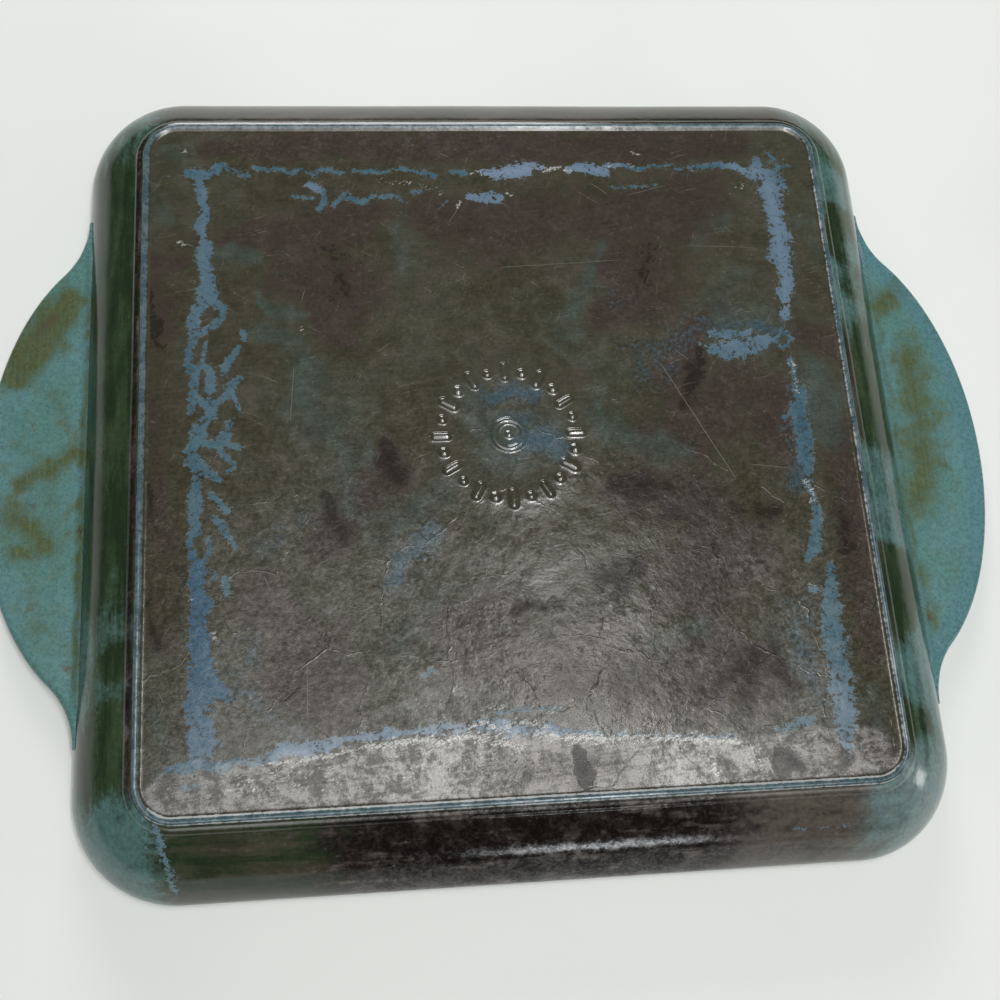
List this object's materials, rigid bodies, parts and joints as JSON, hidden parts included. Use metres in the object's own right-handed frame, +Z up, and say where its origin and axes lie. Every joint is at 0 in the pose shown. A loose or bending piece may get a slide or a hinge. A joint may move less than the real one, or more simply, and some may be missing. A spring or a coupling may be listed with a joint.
{
  "type": "cast iron grill pan",
  "caption": "Shallow square enamelled cast iron grill pan with rolled rim, half-moon tab handles and a ribbed cooking well, stored base up.",
  "frame": {"origin": "middle of the pan in plan, on the plane that its rim lies on", "axes": "+Z up out of the flat base, with the pan lying base up on its rim; +X from the left handle to the right handle; +Y away from the viewer"},
  "size_m": [0.301, 0.245, 0.025],
  "materials": {
    "base_enamel": "dark blue-green enamel under brown baked residue, worn to blue on the contact band, satin",
    "wall_enamel": "olive-green to near-black stained enamel, glossy",
    "handle_enamel": "teal enamel with olive and brown stains, semi-gloss",
    "cooking_enamel": "matt black enamel"
  },
  "bodies": {
    "root": {"base_plate": "base_enamel", "wall_right": "wall_enamel", "wall_back": "wall_enamel", "wall_left": "wall_enamel", "wall_front": "wall_enamel", "corner_back_right": "wall_enamel", "corner_back_left": "wall_enamel", "corner_front_left": "wall_enamel", "corner_front_right": "wall_enamel", "handle_right": "handle_enamel", "handle_left": "handle_enamel", "rib_01": "cooking_enamel", "rib_02": "cooking_enamel", "rib_03": "cooking_enamel", "rib_04": "cooking_enamel", "rib_05": "cooking_enamel", "rib_06": "cooking_enamel", "rib_07": "cooking_enamel", "rib_08": "cooking_enamel", "rib_09": "cooking_enamel", "rib_10": "cooking_enamel", "rib_11": "cooking_enamel", "rib_12": "cooking_enamel", "rib_13": "cooking_enamel", "rib_14": "cooking_enamel", "rib_15": "cooking_enamel"}
  },
  "joints": []
}
